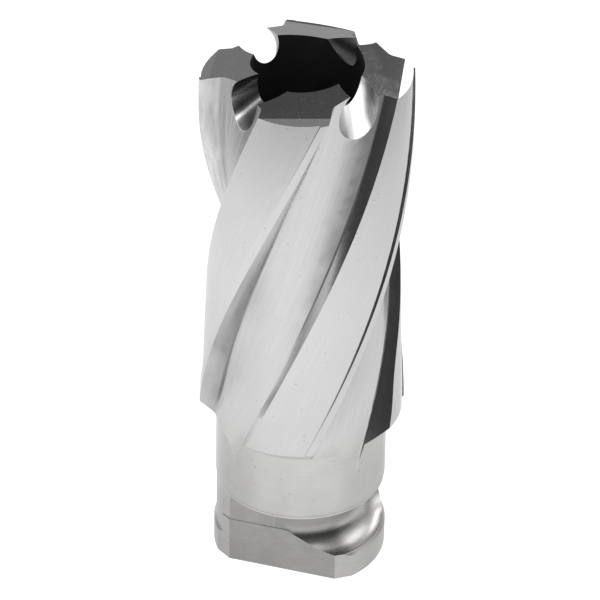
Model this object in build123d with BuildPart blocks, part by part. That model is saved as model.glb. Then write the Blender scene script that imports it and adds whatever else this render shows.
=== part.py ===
"""Annular cutter with four teeth and a bayonet shank, ground from one piece of tool steel.

The cutter stands on its shank with the teeth up. The origin is the centre of the foot, the Z
axis is the axis of rotation, and the two flats of the shank face -Y and +Y.
"""
from build123d import *
from math import cos, radians, sin, sqrt, tan
import os

# Main sizes, in millimetres and degrees
cutter_d = 16.0
core_bore_d = 8.45
pilot_hole_d = 6.4
core_depth = 28.6
drill_point = 118.0
tooth_count = 4
flute_length = 31.43
collar_h = 5.73
collar_step = 1.31
shoulder_angle = 45.0
shank_h = 6.47
lip_height = 0.42

# Helix: the flutes climb counter-clockwise towards the teeth
helix_lead = 110.4
lead_corner_angle = -62.0
lead_corner_drop = 0.98

# Section of a flute and the land behind it: depths below the cutting diameter, and angles
# ahead of a cutting edge
face_depth = 1.65
face_angle = 4.0
floor_depth = 2.08
floor_angle = 19.0
heel_foot_depth = 1.5
heel_foot_angle = 48.2
heel_depth = 0.56
heel_angle = 51.3
margin_depth = 0.15
margin_angle = 4.2
face_round = 0.55
foot_round = 0.25

# Run-out of a flute on the collar, as heights about the shoulder, where the wheel lifts out and the
# foot of the heel drifts towards the cutting edge
runout_wheel_r = 21.8
face_exit_rise = 0.4
heel_exit_drop = 2.5
heel_foot_drift = 4.5
drift_start = 7.5
drift_end = 0.5
flute_overrun = 3.4
section_pitch = 2.0

# The relief of one land stops short, so that its heel rises nearly to the full diameter
short_relief_land = 1
relief_start = 5.6
relief_end = 1.4
relief_left = 0.04

# Tooth tip, in the tooth's own frame: X outwards along its inner cutting edge, Y ahead of it
inner_edge_angle = -40.5
tip_fall_outwards = 6.3
tip_fall_behind = 11.3
bevel_width = 1.03
bevel_turn = 39.6
bevel_fall = 18.0

# Gullet in front of each inner cutting edge, a groove that widens outwards
gullet_r = 1.49
gullet_spread = 6.25
gullet_reach = 1.075
gullet_offset = 0.93
gullet_drop = 1.11
gullet_skew = 19.6
gullet_fall = 36.9
gullet_in = 4.2
gullet_out = 3.2

# Bayonet shank
foot_d = 13.66
foot_h = 1.99
foot_chamfer = 0.2
across_flats = 9.55
flat_width = 8.72
corner_turn = 34.0
flat_h = 3.86
flat_recess = 0.07
groove_floor = 2.27
groove_round = 2.1
front_groove_sweep = 100.0
back_groove_sweep = 79.0
groove_wheel_d = 10.0

room = 1.0
cutter_r = cutter_d / 2
core_r = core_bore_d / 2
pilot_r = pilot_hole_d / 2
collar_r = cutter_r - collar_step
foot_r = foot_d / 2
stem_r = foot_r - foot_chamfer
flat_y = across_flats / 2
neck_r = flat_y - flat_recess
wheel_r = groove_wheel_d / 2
shoulder_z = shank_h + collar_h
overall_length = shoulder_z + flute_length
core_floor = overall_length - core_depth
drill_h = (core_r - pilot_r) / tan(radians(drill_point / 2))
blank_top = overall_length + room
outside_r = cutter_r + room
tool_height = 4 * room
tool_width = 2 * cutter_r
tooth_pitch = 360 / tooth_count
step_angle = tooth_pitch - margin_angle
turn_per_mm = 360 / helix_lead
flute_bottom = shoulder_z - flute_overrun
flute_top = blank_top + room
flute_steps = round((flute_top - flute_bottom) / section_pitch)
flute_pitch = (flute_top - flute_bottom) / flute_steps
round_z = groove_floor + groove_round
round_mid = groove_round * cos(radians(45))


def polar(r, angle):
    """Point at a radius and an angle."""
    return (r * cos(radians(angle)), r * sin(radians(angle)))


def flute_radius(depth, z, exit_z):
    """Radius of a point of the flute, which the lifting wheel brings out on the collar at its exit height."""
    lift_start = exit_z + sqrt(2 * runout_wheel_r * (depth - collar_step))
    return cutter_r - depth + max(0, lift_start - z) ** 2 / (2 * runout_wheel_r)


def share_below(z, start, end):
    """Share of a change that has taken place at one height, between two heights above the shoulder."""
    return min(1, max(0, (shoulder_z + start - z) / (start - end)))


def flute_section(z, short_relief):
    """Open space from one cutting edge to the next at one height: flute and land relief."""
    turn = lead_corner_angle + turn_per_mm * (z - overall_length + lead_corner_drop)
    edge = Vector(*polar(cutter_r, turn))
    face_foot = Vector(*polar(flute_radius(face_depth, z, shoulder_z + face_exit_rise), turn + face_angle))
    face_out = edge + (edge - face_foot).normalized() * room
    floor = polar(flute_radius(floor_depth, z, shoulder_z), turn + floor_angle)
    drift = heel_foot_drift * share_below(z, drift_start, drift_end)
    heel_foot_r = flute_radius(heel_foot_depth, z, shoulder_z - heel_exit_drop)
    heel_foot = polar(heel_foot_r, turn + heel_foot_angle - drift)
    heel_rise = short_relief * (heel_depth - relief_left) * share_below(z, relief_start, relief_end)
    heel_r = cutter_r - heel_depth + heel_rise
    heel_turn = turn + heel_angle + heel_rise * (heel_angle - heel_foot_angle) / (heel_foot_depth - heel_depth)
    heel = polar(heel_r, heel_turn)
    land_end_r = cutter_r - margin_depth
    land_mid = polar((heel_r + land_end_r) / 2, (heel_turn + turn + step_angle) / 2)
    land_end = polar(land_end_r, turn + step_angle)
    step_out = polar(outside_r, turn + step_angle)
    outside_mid = polar(outside_r, turn + step_angle / 2)
    with BuildSketch(Plane.XY.offset(z)) as section:
        with BuildLine():
            Line(face_out, face_foot)
            ThreePointArc(face_foot, floor, heel_foot)
            Line(heel_foot, heel)
            ThreePointArc(heel, land_mid, land_end)
            Line(land_end, step_out)
            ThreePointArc(step_out, outside_mid, face_out)
        make_face()
        fillet(section.vertices().sort_by_distance(face_foot)[0], radius=face_round)
        fillet(section.vertices().sort_by_distance(heel_foot)[0], radius=foot_round)
    return section.sketch


def flute_space(short_relief):
    """One flute with the relief of its land, through sections that turn with the helix."""
    with BuildPart() as space:
        for step in range(flute_steps + 1):
            add(flute_section(flute_bottom + flute_pitch * step, short_relief))
        loft()
    return space.part


def tip_point(x, y):
    """Point on the plane of a tooth's top facet, in the tooth's own frame."""
    fall = (x - core_r) * tan(radians(tip_fall_outwards)) - y * tan(radians(tip_fall_behind))
    return Vector(x, y, overall_length - fall)


def bayonet_groove(sweep):
    """Space of one bayonet groove, from the middle of a flat round a lobe to where its wheel stopped."""
    stop_x, stop_y = polar(neck_r + wheel_r, sweep - 90)
    wheel_plane = Plane(origin=(stop_x, stop_y, 0), x_dir=(-stop_x, -stop_y, 0), z_dir=(-stop_y, stop_x, 0))
    with BuildPart() as groove:
        with BuildSketch(Plane(origin=(0, 0, 0), x_dir=(0, -1, 0), z_dir=(-1, 0, 0))):
            with BuildLine():
                Polyline(
                    (neck_r + groove_round, groove_floor),
                    (outside_r, groove_floor),
                    (outside_r, shank_h),
                    (neck_r, shank_h),
                    (neck_r, round_z),
                )
                ThreePointArc(
                    (neck_r, round_z),
                    (neck_r + groove_round - round_mid, round_z - round_mid),
                    (neck_r + groove_round, groove_floor),
                )
            make_face()
        revolve(axis=Axis.Z, revolution_arc=sweep)
        with BuildSketch(wheel_plane):
            with BuildLine():
                Polyline(
                    (wheel_r - groove_round, groove_floor),
                    (0, groove_floor),
                    (0, shank_h),
                    (wheel_r, shank_h),
                    (wheel_r, round_z),
                )
                ThreePointArc(
                    (wheel_r, round_z),
                    (wheel_r - groove_round + round_mid, round_z - round_mid),
                    (wheel_r - groove_round, groove_floor),
                )
            make_face()
        revolve(axis=Axis((stop_x, stop_y, 0), (0, 0, 1)))
    return groove.part


# Blank turned on the outside
with BuildPart() as cutter:
    with BuildSketch(Plane.XZ):
        with BuildLine():
            Polyline(
                (0, 0),
                (foot_r, 0),
                (foot_r, foot_h),
                (stem_r, foot_h + foot_chamfer),
                (stem_r, shank_h),
                (collar_r, shank_h + lip_height),
                (collar_r, shoulder_z),
                (cutter_r, shoulder_z + collar_step * tan(radians(shoulder_angle))),
                (cutter_r, blank_top),
                (0, blank_top),
                close=True,
            )
        make_face()
    revolve(axis=Axis.Z)

# Core bore from the teeth, and the hole of the pilot pin through the shank
with BuildPart() as hollow:
    with BuildSketch(Plane.XZ):
        with BuildLine():
            Polyline(
                (0, -room),
                (pilot_r, -room),
                (pilot_r, core_floor - drill_h),
                (core_r, core_floor),
                (core_r, blank_top + room),
                (0, blank_top + room),
                close=True,
            )
        make_face()
    revolve(axis=Axis.Z)

# Space above one tooth: over its top facet, and over the bevel outside the ridge
facet_normal = (tan(radians(tip_fall_outwards)), -tan(radians(tip_fall_behind)), 1)
facet_plane = Plane(origin=tip_point(core_r, 0), z_dir=facet_normal)
ridge_x, ridge_y = polar(cutter_r - bevel_width, -bevel_turn)
along_x, along_y = polar(room, -bevel_turn - 90)
out_x, out_y = polar(room, -bevel_turn)
ridge_point = tip_point(ridge_x, ridge_y)
ridge_way = tip_point(ridge_x + along_x, ridge_y + along_y) - ridge_point
bevel_way = Vector(out_x, out_y, -room * tan(radians(bevel_fall)))
bevel_plane = Plane(origin=ridge_point, z_dir=ridge_way.cross(bevel_way))
with BuildPart() as tip:
    for facet in (facet_plane, bevel_plane):
        with BuildSketch(facet):
            Rectangle(2 * tool_width, 2 * tool_width)
        extrude(amount=tool_height)
    with BuildSketch(Plane.XY.offset(core_floor)):
        with Locations((room, room)):
            Rectangle(tool_width, tool_width, align=(Align.MIN, Align.MAX))
    extrude(amount=core_depth + 2 * tool_height, mode=Mode.INTERSECT)

# Space of one gullet: a tapered round groove that falls outwards through the wall
fall = radians(gullet_fall)
skew = radians(gullet_skew)
widening = tan(radians(gullet_spread))
gullet_way = Vector(cos(fall) * cos(skew), -cos(fall) * sin(skew), -sin(fall))
gullet_mid = Vector(core_r + gullet_reach, gullet_offset, overall_length - gullet_drop)
with BuildPart() as gullet:
    with Locations(Plane(origin=gullet_mid - gullet_way * gullet_in, z_dir=gullet_way)):
        Cone(
            gullet_r - gullet_in * widening,
            gullet_r + gullet_out * widening,
            gullet_in + gullet_out,
            align=(Align.CENTER, Align.CENTER, Align.MIN),
        )

# Space beside one flat of the shank with its two turned corners, a little deeper near the collar
half_flat = flat_width / 2
corner_x, corner_y = polar(cutter_r, corner_turn)
with BuildPart() as flat:
    for depth_y, start_z, end_z in ((flat_y, -room, flat_h), (neck_r, flat_h, shank_h)):
        with BuildSketch(Plane.XY.offset(start_z)):
            with BuildLine():
                Polyline(
                    (half_flat, -depth_y),
                    (half_flat + corner_x, -depth_y + corner_y),
                    (half_flat + corner_x, -outside_r),
                    (-half_flat - corner_x, -outside_r),
                    (-half_flat - corner_x, -depth_y + corner_y),
                    (-half_flat, -depth_y),
                    close=True,
                )
            make_face()
        extrude(amount=end_z - start_z)

# Cut everything out of the blank
with cutter:
    add(hollow.part, mode=Mode.SUBTRACT)
    for number in range(tooth_count):
        with PolarLocations(0, 1, start_angle=number * tooth_pitch):
            add(flute_space(number == short_relief_land), mode=Mode.SUBTRACT)
    with PolarLocations(0, tooth_count, start_angle=inner_edge_angle):
        add(tip.part, mode=Mode.SUBTRACT)
        add(gullet.part, mode=Mode.SUBTRACT)
    for start, sweep in ((0, front_groove_sweep), (180, back_groove_sweep)):
        with PolarLocations(0, 1, start_angle=start):
            add(flat.part, mode=Mode.SUBTRACT)
            add(bayonet_groove(sweep), mode=Mode.SUBTRACT)

cutter.part.label = "annular_cutter"
os.makedirs("parts", exist_ok=True)
export_step(cutter.part, "parts/annular_cutter.step")
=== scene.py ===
"""Studio picture of the annular cutter: ground steel on a pale floor, seen from above the flat."""
import math
from types import SimpleNamespace

import bpy
from mathutils import Matrix, Vector

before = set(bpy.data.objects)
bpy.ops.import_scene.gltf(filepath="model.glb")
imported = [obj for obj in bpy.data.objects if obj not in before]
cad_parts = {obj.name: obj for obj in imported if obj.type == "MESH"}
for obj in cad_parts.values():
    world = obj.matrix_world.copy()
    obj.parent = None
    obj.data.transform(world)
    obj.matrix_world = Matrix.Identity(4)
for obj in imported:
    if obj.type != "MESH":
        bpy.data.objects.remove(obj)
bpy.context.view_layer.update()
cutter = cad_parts["annular_cutter"]

# Camera, in metres and degrees, about the cutter's axis
camera_turn = 16.25
camera_distance = 0.211279
camera_height = 0.162165
camera_yaw = -0.069
camera_fall = 33.467
camera_roll = 0.991
camera_near = 0.01
camera_far = 10
image_width = 600
focal_pixels = 3302.6
sensor_width = 36.0

# Floor in metres, half matt and half glowing to the eye
floor_size = 6
floor_grey = 0.9
floor_glow = 1.6
floor_glow_share = 0.5

# Floor in reflections: light by distance, as a share of the reach, and its lean to one side
pool_reach = 0.25
floor_pool = (
    (0.0, 0.7), (0.03, 0.75), (0.05, 0.85), (0.08, 0.97), (0.15, 1.05), (0.2, 1.12), (0.28, 1.05),
    (0.34, 0.8), (0.47, 0.36), (0.95, 0.16))
floor_bright_side = -35
floor_side_gain = 0.1

# Floor close to the cutter in reflections: distances where its changes start and are full, and for
# each the azimuth of its middle, the cosine from there at which it starts, and its gain
near_distance = (0.031, 0.024)
near_floor = ((-84, 0.72, -0.13), (180, 0.62, 0.42), (20, 0.7, 0.06))

# Walls in reflections, on the camera's side and beyond the cutter: light from straight down, 0, to
# straight up, 1. The first goes over into the second between two depths
front_wall = (
    (0.0, 0.3), (0.48, 0.10), (0.5, 0.068), (0.55, 0.05), (0.62, 0.08), (0.70, 0.2), (0.85, 0.6), (1.0, 0.8))
back_wall = (
    (0.0, 1.6), (0.47, 1.6), (0.52, 0.8), (0.555, 0.56), (0.63, 0.385), (0.80, 0.225), (0.88, 0.08),
    (0.95, 0.53))
wall_join = (-0.25, 0.55)

# Soft light on the right wall, 115 degrees to the right and 44 up, with Y away from the camera. Its
# spread and its core go by the cosine from the middle, its left edge by X and its foot by height
lobe_way = (0.652, 0.304, 0.695)
lobe_spread = (0.7, 0.93, 0.0, 0.5)
lobe_core = (0.94, 1.0, 0.0, 1.5)
lobe_edge = (0.25, 0.33)
lobe_foot = (0.14, 0.4)

# Softboxes: name, azimuth, elevation, half width and half height in degrees, radiance, distance
softboxes = (
    ("top", 0, 72, 24.7, 20, 1.7, 0.1),
    ("left", -56, 28, 8, 7, 3.2, 0.6),
    ("right", 151, 35, 6, 7, 2.8, 0.6),
)

# The cutter's own measures, in millimetres and degrees. The flutes turn with the height from their
# phase at the tips, and the gullet is given for one tooth, by a point on its axis and its direction
mm_per_m = 1000.0
helix_lead = 110.4
helix_twist = 360 / helix_lead
tip_z = 42.652
tip_phase = 62.0
tooth_pitch = 90
inner_edge_angle = -40.5
shank_h = 6.47
shoulder_z = 12.2
gullet_r = 1.49
gullet_flare = 6.25
gullet_mid = (5.3, 0.93, 42.52)
gullet_way = (0.7533, -0.2683, -0.6004)

# Limits between regions, each from outside to inside: heights and radii in millimetres, slopes as
# parts of the surface's normal, and walls as the part of it that points round the axis
flute_foot = (shoulder_z - 2.0, shoulder_z + 2.5)
face_wall = (0.5, 0.75)
face_foot = (31, 36)
# Limits of the painted shade on the low face and the streaky flute
painted_shade_low_face_top = (34, 29)
painted_shade_streaky_foot = (22, 30)
land_foot = (shoulder_z, shoulder_z + 0.1)
land_radius = (7.38, 7.43)
land_wall = (0.6, 0.4)
shoulder_slope = (-0.25, -0.45)
shoulder_foot = (11.0, 11.5)
lip_top = (shank_h + 0.3, shank_h + 0.2)
painted_rim_highlight_top = (shank_h + 0.14, shank_h + 0.08)
shank_top = (shank_h + 0.03, shank_h - 0.03)
hollow_slope = (0.04, 0.12)
neck_radius = (4.77, 4.74)
dish_slope = (0.05, 0.35)
# Slope at which the painted shade on one side of the dish starts
painted_dish_shade_slope = (0.1, 0.35)
step_slope = (0.3, 0.5)
flat_slope = (0.95, 0.98)
bore_radius = (4.4, 4.3)
gullet_skin = (0.09, 0.04)
gullet_foot = (36, 37)
tip_slope = (0.88, 0.92)
tip_foot = (37.5, 38.5)
speck_slope = (0.4, 0.6)
speck_foot = (37, 38)

# Regions on one side only: angle of the middle, and cosines from it at which they start and are full.
# The streaky flute, one side of the dish and the far gullet carry painted shade, and one gullet
# painted light and shade
front_face_side = (-105.0, 0.6, 0.75)
painted_shade_streaky_side = (-152.0, 0.55, 0.9)
painted_dish_shade_side = (-61.75, 0.84, 0.95)
rear_dish_side = (-160.0, 0.85, 0.95)
step_side = (-115.0, 0.85, 0.93)
painted_light_gullet_side = (-30.5, 0.6, 0.8)
painted_shade_gullet_side = (59.5, 0.6, 0.8)

# Grey of the flutes and of the regions over them. Painted shade darkens the bore, the low face,
# the streaky flute, one side of the dish, the far gullet and the gullets, darker towards one end of
# their axis, and one gullet gets painted light and shade by the way its wall faces. Three greys
# change: the low face's with the height, the gullets' along their axis, and the lit gullet's with
# the way that its wall faces
flute_tone = 0.63
region_tones = {
    "cutting_face": 0.95, "painted_shade_streaky_flute": 0.35, "land": 0.65, "collar": 0.6, "shoulder": 0.85,
    "shank": 0.6, "groove": 0.38, "dish": 0.56, "painted_dish_shade": 0.25, "rear_dish": 0.7, "step": 0.8,
    # The bore's low grey is painted shade
    "flat": 0.42, "bore": 0.25, "painted_shade_gullet": 0.12, "tip": 0.45,
}
painted_shade_low_face_tone = (15, 27, 0.22, 0.26)
gullet_painted_shade = (1.2, 2.8, 0.2, 0.8)
painted_light_gullet_tone = (0.1, 0.45, 0.78, 0.38)

# What marks, patches, edges worn and lit by painted highlights, the collar's dark lip and the painted
# highlight on its rim, specks of painted glint and dust do to the grey, and how much green and blue
# the warm regions lose
mark_shade = 1.6
patch_shade = 0.05
region_patches = {"collar": 0.2, "shank": 0.3}
edge_wear_and_highlight_gain = 0.12
lip_shade = -0.08
rim_highlight_gain = 0.2
speck_glint_gain = 0.2
dust_shade = -0.25
warm_tints = {"collar": 0.022, "shank": 0.03}
warm_green = -0.4

# Tool marks: how fine they are in each direction, round the axis, along the helix, along a gullet
# and milled, then their depth in the flutes and in the regions, which the patches vary
round_scale = (3.0, 11.0, 0.02)
helix_scale = (0.5, 0.22, 1.2)
gullet_scale = (6.0, 0.5)
milled_scale = (1.2, 1.2, 5.0)
flute_depth = 0.13
region_depths = {
    "painted_shade_streaky_flute": 0.8, "land": 0.06, "collar": 0.08, "shank": 0.14, "groove": 0.3, "flat": 0.16,
    "bore": 0.1, "gullet": 0.32, "painted_light_gullet": 0.1, "tip": 0.25,
}
patch_depth = (0.3, 0.65, 0.35, 1.3)
bump_distance = 0.00003
bump_strength = 0.5

# Roughness of the flutes and of the regions, and what marks, worn edges and patches add to it
flute_roughness = 0.15
region_roughness = {
    "cutting_face": 0.35, "land": 0.12, "collar": 0.2, "shank": 0.2, "groove": 0.27, "flat": 0.26,
    "bore": 0.3, "gullet": 0.24, "painted_light_gullet": 0.36, "tip": 0.08,
}
mark_roughness = 0.5
edge_roughness = 0.15
patch_roughness = 0.06

# Noises: scale, detail and roughness
mark_noise = (1.0, 3.0, 0.6)
helix_noise = (1.0, 4.0, 0.55)
tip_noise = (9.0, 2.0, 0.6)
patch_noise = (0.5, 3.0, 0.55)
edge_noise = (3.0, 2.0, 0.5)
speck_noise = (7.0, 1.0, 0.5)
dust_noise = (4.3, 1.0, 0.5)

# Worn edges, also lit by painted highlights: radius in metres, and how far the normal turns, as a
# cosine. Then the ranges of noise over which edges, painted glint specks and dust appear
edge_radius = 0.00006
edge_samples = 6
edge_turn = (0.995, 0.9)
edge_breaks = (0.35, 0.6)
speck_share = (0.66, 0.73)
dust_share = (0.27, 0.22)


def studio_way(azimuth, elevation):
    """Direction at an azimuth, counted to the right from the camera's side, and an elevation."""
    turn = math.radians(azimuth + camera_turn)
    level = math.cos(math.radians(elevation))
    return Vector((math.sin(turn) * level, -math.cos(turn) * level, math.sin(math.radians(elevation))))


def make_camera():
    """Camera at the photograph's viewing angle, with no shift."""
    data = bpy.data.cameras.new("camera")
    data.sensor_width = sensor_width
    data.lens = focal_pixels / image_width * sensor_width
    data.clip_start = camera_near
    data.clip_end = camera_far
    camera = bpy.data.objects.new("camera", data)
    bpy.context.scene.collection.objects.link(camera)
    place = studio_way(0, 0) * camera_distance
    place.z = camera_height
    heading = Matrix.Rotation(math.radians(camera_turn - camera_yaw), 4, "Z")
    fall = Matrix.Rotation(math.radians(90 - camera_fall), 4, "X")
    roll = Matrix.Rotation(math.radians(camera_roll), 4, "Z")
    camera.matrix_world = Matrix.Translation(place) @ heading @ fall @ roll
    bpy.context.scene.camera = camera


def make_softbox(name, azimuth, elevation, half_wide, half_high, radiance, distance):
    """Rectangular area light that faces the cutter and covers these half angles, not seen by the eye."""
    data = bpy.data.lights.new(name, "AREA")
    data.shape = "RECTANGLE"
    width = 2 * distance * math.tan(math.radians(half_wide))
    height = 2 * distance * math.tan(math.radians(half_high))
    data.size = width
    data.size_y = height
    data.energy = radiance * math.pi * width * height
    light = bpy.data.objects.new(name, data)
    bpy.context.scene.collection.objects.link(light)
    way = studio_way(azimuth, elevation)
    light.location = way * distance
    light.rotation_euler = way.to_track_quat("Z", "Y").to_euler()
    light.visible_camera = False


class Nodes:
    """Small builder of shader nodes."""

    def __init__(self, tree):
        self.tree = tree

    def add(self, kind, *values, settings=None, **named):
        """Node with its settings, and its inputs in order or by name, each a value or an output."""
        node = self.tree.nodes.new(kind)
        for key, value in (settings or {}).items():
            setattr(node, key, value)
        for key, value in (*enumerate(values), *named.items()):
            self.put(node, key, value)
        return node

    def put(self, node, key, value):
        """Set or link one input."""
        if isinstance(value, bpy.types.NodeSocket):
            self.tree.links.new(value, node.inputs[key])
        else:
            node.inputs[key].default_value = value

    def math(self, operation, *values):
        """Math node's output."""
        return self.add("ShaderNodeMath", *values, settings={"operation": operation}).outputs[0]

    def vector(self, operation, *values, **named):
        """Vector math node's output, which is a number for a length or a dot product."""
        node = self.add("ShaderNodeVectorMath", *values, settings={"operation": operation}, **named)
        return node.outputs["Value" if operation in ("LENGTH", "DOT_PRODUCT") else "Vector"]

    def product(self, *values):
        """All the values multiplied together."""
        result = values[0]
        for value in values[1:]:
            result = self.math("MULTIPLY", result, value)
        return result

    def scaled(self, value, factor, base):
        """Value times a factor, added to a base."""
        return self.math("MULTIPLY_ADD", value, factor, base)

    def rest(self, mask):
        """What a mask leaves of one."""
        return self.math("SUBTRACT", 1, mask)

    def mix(self, share, start, end):
        """Number between a start and an end."""
        node = self.add("ShaderNodeMix", share, settings={"data_type": "FLOAT"})
        self.put(node, 2, start)
        self.put(node, 3, end)
        return node.outputs[0]

    def by_region(self, masks, start, values):
        """Start value, replaced in the masks' order where a region has a value of its own."""
        result = start
        for name, mask in masks.items():
            if name in values:
                result = self.mix(mask, result, values[name])
        return result

    def place(self, x, y, z=0.0):
        """Numbers as one vector."""
        return self.add("ShaderNodeCombineXYZ", x, y, z).outputs[0]

    def stretched(self, parts, scales):
        """Numbers as one vector, each times its own scale."""
        return self.place(*(self.product(part, scale) for part, scale in zip(parts, scales)))

    def noise(self, place, scale, detail, rough):
        """Noise about a half at a place."""
        node = self.add(
            "ShaderNodeTexNoise", settings={"noise_dimensions": "3D"},
            Vector=place, Scale=scale, Detail=detail, Roughness=rough)
        return node.outputs["Fac"]

    def ramp(self, value, stops):
        """Grey ramp through pairs of position and value."""
        node = self.add("ShaderNodeValToRGB", value)
        while len(node.color_ramp.elements) < len(stops):
            node.color_ramp.elements.new(1)
        for element, (position, grey) in zip(node.color_ramp.elements, stops):
            element.position = position
            element.color = (grey, grey, grey, 1)
        return node.outputs[0]

    def span(self, value, low, high, start=0.0, end=1.0):
        """Value mapped from one range to another, eased and clamped."""
        settings = {"interpolation_type": "SMOOTHSTEP"}
        return self.add("ShaderNodeMapRange", value, low, high, start, end, settings=settings).outputs[0]


def make_floor():
    """Plain pale floor, whose light in reflections fades towards the cutter and far from it."""
    bpy.ops.mesh.primitive_plane_add(size=floor_size, location=(0, 0, 0))
    floor = bpy.context.object
    floor.name = "floor"
    material = bpy.data.materials.new("floor")
    material.use_nodes = True
    material.node_tree.nodes.clear()
    make = Nodes(material.node_tree)
    place = make.add("ShaderNodeTexCoord").outputs["Object"]
    glossy = make.add("ShaderNodeLightPath").outputs["Is Glossy Ray"]

    distance = make.vector("LENGTH", place)
    side = make.vector("NORMALIZE", place)
    pool = make.ramp(make.math("DIVIDE", distance, pool_reach), floor_pool)
    lean = make.vector("DOT_PRODUCT", side, studio_way(floor_bright_side, 0))
    gains = make.scaled(lean, floor_side_gain, 1 - floor_side_gain)
    near = make.span(distance, *near_distance)
    for azimuth, start, gain in near_floor:
        towards = make.vector("DOT_PRODUCT", side, studio_way(azimuth, 0))
        share = make.product(near, make.span(towards, start, 1.0))
        gains = make.product(gains, make.scaled(share, gain, 1.0))

    matt = make.add("ShaderNodeBsdfDiffuse", Color=(floor_grey, floor_grey, floor_grey, 1)).outputs[0]
    glow = make.add("ShaderNodeEmission", Strength=floor_glow).outputs[0]
    seen = make.add("ShaderNodeMixShader", floor_glow_share, matt, glow).outputs[0]
    mirrored = make.add("ShaderNodeEmission", Strength=make.product(pool, gains)).outputs[0]
    both = make.add("ShaderNodeMixShader", glossy, seen, mirrored).outputs[0]
    make.add("ShaderNodeOutputMaterial", Surface=both)
    floor.data.materials.append(material)


def make_world():
    """Studio around the cutter: white to the eye and for the floor, with dark walls in reflections."""
    world = bpy.data.worlds.new("world")
    bpy.context.scene.world = world
    world.use_nodes = True
    world.node_tree.nodes.clear()
    make = Nodes(world.node_tree)
    way = make.add("ShaderNodeTexCoord").outputs["Generated"]
    turned = make.add(
        "ShaderNodeVectorRotate", settings={"rotation_type": "Z_AXIS"},
        Vector=way, Angle=math.radians(-camera_turn)).outputs[0]
    right, back, height = make.add("ShaderNodeSeparateXYZ", turned).outputs
    glossy = make.add("ShaderNodeLightPath").outputs["Is Glossy Ray"]

    up = make.scaled(height, 0.5, 0.5)
    walls = make.mix(make.span(back, *wall_join), make.ramp(up, front_wall), make.ramp(up, back_wall))
    to_lobe = make.vector("DOT_PRODUCT", turned, lobe_way)
    lobe = make.math("ADD", make.span(to_lobe, *lobe_spread), make.span(to_lobe, *lobe_core))
    lobe = make.product(lobe, make.span(right, *lobe_edge), make.span(height, *lobe_foot))
    mirrored = make.math("ADD", walls, lobe)
    background = make.add("ShaderNodeBackground", Strength=make.mix(glossy, 1.0, mirrored)).outputs[0]
    make.add("ShaderNodeOutputWorld", Surface=background)


def measure(make):
    """Place on the cutter in millimetres and degrees, and how its surface faces there."""
    coordinates = make.add("ShaderNodeTexCoord").outputs
    spot = make.vector("SCALE", coordinates["Object"], Scale=mm_per_m)
    x, y, z = make.add("ShaderNodeSeparateXYZ", spot).outputs
    normal_x, normal_y, normal_z = make.add("ShaderNodeSeparateXYZ", coordinates["Normal"]).outputs
    radius = make.math("SQRT", make.math("MULTIPLY_ADD", x, x, make.product(y, y)))
    angle = make.math("DEGREES", make.math("ARCTAN2", y, x))
    wall = make.math("SUBTRACT", make.product(normal_y, x), make.product(normal_x, y))
    wall = make.math("DIVIDE", wall, radius)

    # Angle within one flute and its land, which turn with the helix
    turn = make.scaled(z, -helix_twist, tip_phase + helix_twist * tip_z)
    turned = make.math("DIVIDE", make.math("ADD", angle, turn), tooth_pitch)
    phase = make.product(make.math("FRACT", turned), tooth_pitch)

    # Place about the axis of the nearest gullet
    from_edge = make.math("ADD", angle, tooth_pitch / 2 - inner_edge_angle)
    tooth_share = make.math("FRACT", make.math("DIVIDE", from_edge, tooth_pitch))
    tooth_turn = make.math("RADIANS", make.scaled(tooth_share, tooth_pitch, -tooth_pitch / 2))
    tooth_x = make.product(radius, make.math("COSINE", tooth_turn))
    tooth_y = make.product(radius, make.math("SINE", tooth_turn))
    from_mid = make.vector("SUBTRACT", make.place(tooth_x, tooth_y, z), gullet_mid)
    along = make.vector("DOT_PRODUCT", from_mid, gullet_way)
    across = make.vector("DOT_PRODUCT", from_mid, (-gullet_way[1], gullet_way[0], 0))
    off_axis = make.vector("LENGTH", make.vector("CROSS_PRODUCT", from_mid, gullet_way))
    return SimpleNamespace(
        spot=spot, x=x, y=y, z=z, normal_y=normal_y, normal_z=normal_z, radius=radius, angle=angle,
        wall=wall, phase=phase, along=along, across=across, off_axis=off_axis)


def on_side(make, at, middle, start, full):
    """Mask of the side of the cutter about an angle."""
    part_x = make.product(at.x, math.cos(math.radians(middle)))
    part_y = make.product(at.y, math.sin(math.radians(middle)))
    towards = make.math("DIVIDE", make.math("ADD", part_x, part_y), at.radius)
    return make.span(towards, start, full)


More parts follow.
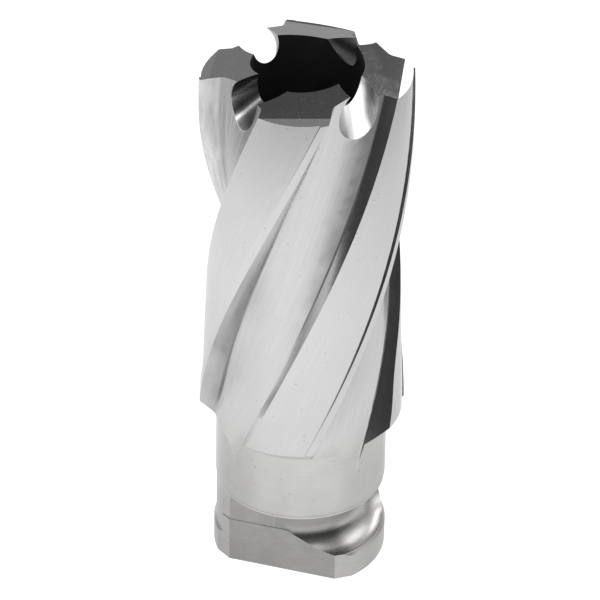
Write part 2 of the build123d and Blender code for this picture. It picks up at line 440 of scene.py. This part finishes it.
def find_regions(make, at):
    """Masks of the regions, where a later one covers an earlier one."""
    above = make.span(at.z, *flute_foot)
    shank = make.span(at.z, *shank_top)
    hollow = make.math("MAXIMUM", make.span(at.normal_z, *hollow_slope), make.span(at.radius, *neck_radius))
    groove = make.product(shank, hollow)
    wall_size = make.math("ABSOLUTE", at.wall)
    side_size = make.math("ABSOLUTE", at.normal_y)
    front_face = make.product(above, make.span(at.wall, *face_wall), on_side(make, at, *front_face_side))
    tip = make.product(make.span(at.normal_z, *tip_slope), make.span(at.z, *tip_foot))
    gullet_size = make.scaled(at.along, math.tan(math.radians(gullet_flare)), gullet_r)
    gullet_gap = make.math("ABSOLUTE", make.math("SUBTRACT", at.off_axis, gullet_size))
    gullet = make.product(make.span(gullet_gap, *gullet_skin), make.span(at.z, *gullet_foot), make.rest(tip))
    # The low face, the streaky flute, one side of the dish and the far gullet get painted shade, and one
    # gullet painted light and shade
    return {
        "cutting_face": make.product(front_face, make.span(at.z, *face_foot)),
        "painted_shade_low_face": make.product(front_face, make.span(at.z, *painted_shade_low_face_top)),
        "painted_shade_streaky_flute": make.product(
            on_side(make, at, *painted_shade_streaky_side), make.span(at.z, *painted_shade_streaky_foot), above),
        "land": make.product(
            make.span(at.z, *land_foot), make.span(at.radius, *land_radius),
            make.span(wall_size, *land_wall)),
        "collar": make.product(make.rest(shank), make.rest(above)),
        "shoulder": make.product(make.span(at.normal_z, *shoulder_slope), make.span(at.z, *shoulder_foot)),
        "shank": shank,
        "groove": groove,
        "dish": make.product(groove, make.span(at.normal_z, *dish_slope)),
        "painted_dish_shade": make.product(groove, make.span(at.normal_z, *painted_dish_shade_slope), on_side(make, at, *painted_dish_shade_side)),
        "rear_dish": make.product(groove, on_side(make, at, *rear_dish_side)),
        "step": make.product(groove, on_side(make, at, *step_side), make.span(at.normal_z, *step_slope)),
        "flat": make.product(shank, make.rest(hollow), make.span(side_size, *flat_slope)),
        "bore": make.span(at.radius, *bore_radius),
        "gullet": gullet,
        "painted_light_gullet": make.product(gullet, on_side(make, at, *painted_light_gullet_side)),
        "painted_shade_gullet": make.product(gullet, on_side(make, at, *painted_shade_gullet_side)),
        "tip": tip,
    }


def tool_marks(make, at, masks):
    """Height of the tool marks about zero, each kind in its own regions."""
    round_marks = make.noise(make.stretched((at.radius, at.z, at.angle), round_scale), *mark_noise)
    helix_marks = make.noise(make.stretched((at.phase, at.z, at.radius), helix_scale), *helix_noise)
    marks = make.by_region(masks, helix_marks, {
        "collar": round_marks,
        "shank": round_marks,
        "flat": make.noise(make.stretched((at.x, at.y, at.z), milled_scale), *mark_noise),
        "bore": round_marks,
        "gullet": make.noise(make.stretched((at.across, at.along), gullet_scale), *mark_noise),
        "tip": make.noise(at.spot, *tip_noise),
    })
    return make.math("SUBTRACT", marks, 0.5)


def worn_and_highlighted_edges(make, at):
    """Mask of the sharp edges, worn and lit by painted highlights, broken up along their length."""
    rounded = make.add("ShaderNodeBevel", settings={"samples": edge_samples}, Radius=edge_radius).outputs[0]
    plain = make.add("ShaderNodeNewGeometry").outputs["Normal"]
    turned = make.vector("DOT_PRODUCT", rounded, plain)
    breaks = make.noise(at.spot, *edge_noise)
    return make.product(make.span(turned, *edge_turn), make.span(breaks, *edge_breaks))


def make_steel():
    """Ground steel, finished by region: lands, flutes, tips, gullets, collar and milled shank, with painted
    shade in some regions and painted highlights on edges, the collar's rim and specks.
    """
    material = bpy.data.materials.new("ground_steel")
    material.use_nodes = True
    shader = material.node_tree.nodes["Principled BSDF"]
    make = Nodes(material.node_tree)
    at = measure(make)
    masks = find_regions(make, at)
    patches = make.noise(at.spot, *patch_noise)
    patch = make.math("SUBTRACT", patches, 0.5)
    depth = make.product(
        make.by_region(masks, flute_depth, region_depths), make.span(patches, *patch_depth))
    marks = make.product(tool_marks(make, at, masks), depth)
    edge = worn_and_highlighted_edges(make, at)

    # Grey, with painted shade and light in some regions, marks, patches, worn edges with painted
    # highlights, and a painted highlight on the collar's rim under a fine dark lip
    tone = make.by_region(masks, flute_tone, {
        **region_tones,
        "painted_shade_low_face": make.span(at.z, *painted_shade_low_face_tone),
        "gullet": make.span(at.along, *gullet_painted_shade),
        "painted_light_gullet": make.span(at.wall, *painted_light_gullet_tone),
    })
    tone = make.product(tone, make.scaled(marks, mark_shade, 1.0))
    tone = make.product(tone, make.scaled(patch, make.by_region(masks, patch_shade, region_patches), 1.0))
    tone = make.scaled(edge, edge_wear_and_highlight_gain, tone)
    painted_rim_highlight = make.product(masks["collar"], make.span(at.z, *painted_rim_highlight_top))
    lip = make.product(masks["collar"], make.span(at.z, *lip_top))
    tone = make.scaled(lip, lip_shade, make.scaled(painted_rim_highlight, rim_highlight_gain, tone))

    # Light specks of painted glint on the tips and gullets, and dark dust on all but the tips
    ground = make.math("MAXIMUM", make.span(at.normal_z, *speck_slope), masks["gullet"])
    grains = make.span(make.noise(at.spot, *speck_noise), *speck_share)
    glint_specks = make.product(ground, make.span(at.z, *speck_foot), grains)
    tone = make.scaled(glint_specks, speck_glint_gain, tone)
    dust = make.product(make.rest(masks["tip"]), make.span(make.noise(at.spot, *dust_noise), *dust_share))
    tone = make.product(tone, make.scaled(dust, dust_shade, 1.0))

    # A little warmer on the collar and the shank
    warm = make.by_region(masks, 0.0, warm_tints)
    green = make.product(tone, make.scaled(warm, warm_green, 1.0))
    blue = make.product(tone, make.rest(warm))
    make.put(shader, "Base Color", make.add("ShaderNodeCombineColor", tone, green, blue).outputs[0])

    roughness = make.by_region(masks, flute_roughness, region_roughness)
    roughness = make.scaled(marks, mark_roughness, roughness)
    roughness = make.scaled(edge, edge_roughness, roughness)
    make.put(shader, "Roughness", make.scaled(patch, patch_roughness, roughness))
    make.put(shader, "Metallic", 1.0)
    bump = make.add("ShaderNodeBump", Height=marks, Distance=bump_distance, Strength=bump_strength)
    make.put(shader, "Normal", bump.outputs[0])
    return material


make_camera()
make_floor()
make_world()
cutter.data.materials.clear()
cutter.data.materials.append(make_steel())
for softbox in softboxes:
    make_softbox(*softbox)
bpy.context.scene.view_settings.view_transform = "Standard"
